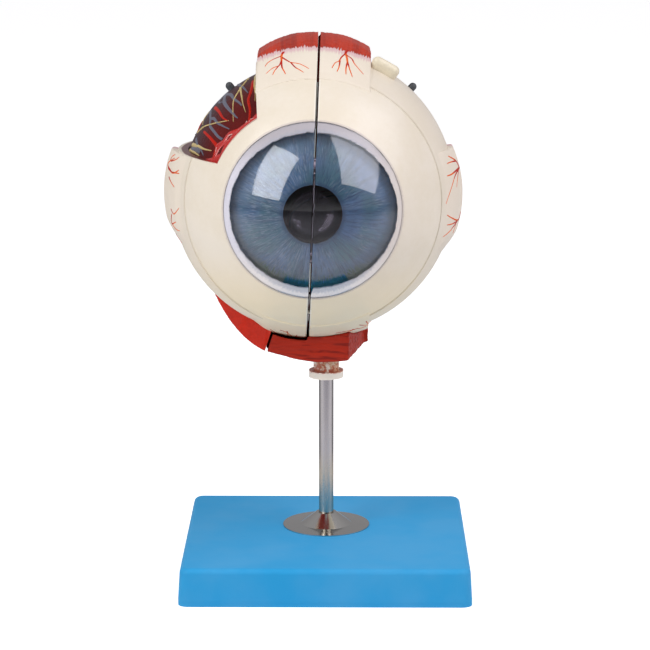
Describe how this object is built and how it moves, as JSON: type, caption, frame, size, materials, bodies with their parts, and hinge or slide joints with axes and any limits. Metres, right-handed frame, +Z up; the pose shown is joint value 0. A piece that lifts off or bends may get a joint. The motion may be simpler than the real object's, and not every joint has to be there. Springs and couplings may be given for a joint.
{
  "type": "dissectible eye anatomy model",
  "caption": "Enlarged eyeball on a pole stand whose left half lifts off to show the coats, iris, lens and clear body inside.",
  "frame": {"origin": "middle of the base underside, on the table", "axes": "+X to the right of the picture (the nose side of the eye), +Y to the back, +Z up; the eye looks along -Y"},
  "size_m": [0.1556, 0.1737, 0.2738],
  "materials": {
    "base_blue": "glossy moulded plastic",
    "base_sheet": "matte board",
    "chrome": "polished",
    "pole_steel": "satin",
    "zinc": "plain",
    "cream_resin": "hand painted, satin varnish",
    "clear_dome": "polished clear",
    "muscle_cream": "hand painted, satin varnish",
    "muscle_dark_red": "painted muscle fibres",
    "muscle_bright_red": "painted, smooth",
    "tendon": "satin varnish",
    "vein_grey": "painted",
    "nerve_sheath": "painted",
    "nerve_core": "painted",
    "choroid_red": "painted with vessels",
    "retina_orange": "painted with vessels",
    "ciliary_brown": "painted folds",
    "iris_blue": "painted radial fibres",
    "vitreous_clear": "polished clear",
    "lens_clear": "polished clear"
  },
  "bodies": {
    "stand": {"base_shell": "base_blue", "base_pad": "base_sheet", "pole_flange": "chrome", "pole_washer": "zinc", "pole_nut": "zinc", "pole": "pole_steel"},
    "fixed_half": {"pole_socket": "cream_resin", "sclera_right": "cream_resin", "cornea_right": "clear_dome", "superior_rectus_right": "muscle_cream", "medial_rectus": "muscle_cream", "inferior_rectus_right": "muscle_cream", "inferior_oblique_medial": "muscle_dark_red", "superior_oblique_tendon": "tendon", "vortex_veins_right": "vein_grey", "optic_nerve_sheath": "nerve_sheath", "optic_nerve_core": "nerve_core"},
    "removable_half": {"sclera_left": "cream_resin", "cornea_left": "clear_dome", "superior_rectus_left": "muscle_cream", "lateral_rectus": "muscle_cream", "inferior_rectus_left": "muscle_cream", "inferior_oblique_lateral": "muscle_bright_red", "vortex_vein_lower_left": "vein_grey", "locating_pegs": "cream_resin"},
    "choroid_half_left": {"choroid_left": "choroid_red", "retina_left": "retina_orange", "ciliary_body_left": "ciliary_brown", "iris_left": "iris_blue", "vortex_vein_upper_left": "vein_grey"},
    "choroid_half_right": {"choroid_right": "choroid_red", "retina_right": "retina_orange", "ciliary_body_right": "ciliary_brown", "iris_right": "iris_blue"},
    "vitreous": {"vitreous_shell": "vitreous_clear", "vitreous_front": "vitreous_clear"},
    "lens": {"lens": "lens_clear"}
  },
  "joints": [
    {"name": "eye_swivel", "type": "hinge", "parent": "stand", "child": "fixed_half", "pos_m": [0, 0.0115, 0.1], "axis": [0, 0, 1], "continuous": true},
    {"name": "half_lift", "type": "slide", "parent": "fixed_half", "child": "removable_half", "axis": [-0.9868, -0.0086, 0.1616], "range_m": [0, 0.28]},
    {"name": "choroid_left_slide", "type": "slide", "parent": "removable_half", "child": "choroid_half_left", "axis": [0.9868, 0.0086, -0.1616], "range_m": [0, 0.07]},
    {"name": "choroid_right_slide", "type": "slide", "parent": "fixed_half", "child": "choroid_half_right", "axis": [-0.9868, -0.0086, 0.1616], "range_m": [0, 0.07]},
    {"name": "vitreous_slide", "type": "slide", "parent": "fixed_half", "child": "vitreous", "axis": [-0.9868, -0.0086, 0.1616], "range_m": [0, 0.14]},
    {"name": "lens_slide", "type": "slide", "parent": "vitreous", "child": "lens", "axis": [0.0087, -1, 0], "range_m": [0, 0.0196]}
  ],
  "couplings": [
    {"joint": "choroid_left_slide", "follows": "half_lift", "ratio": 0.25},
    {"joint": "choroid_right_slide", "follows": "half_lift", "ratio": 0.25},
    {"joint": "vitreous_slide", "follows": "half_lift", "ratio": 0.5},
    {"joint": "lens_slide", "follows": "half_lift", "ratio": 0.07}
  ]
}
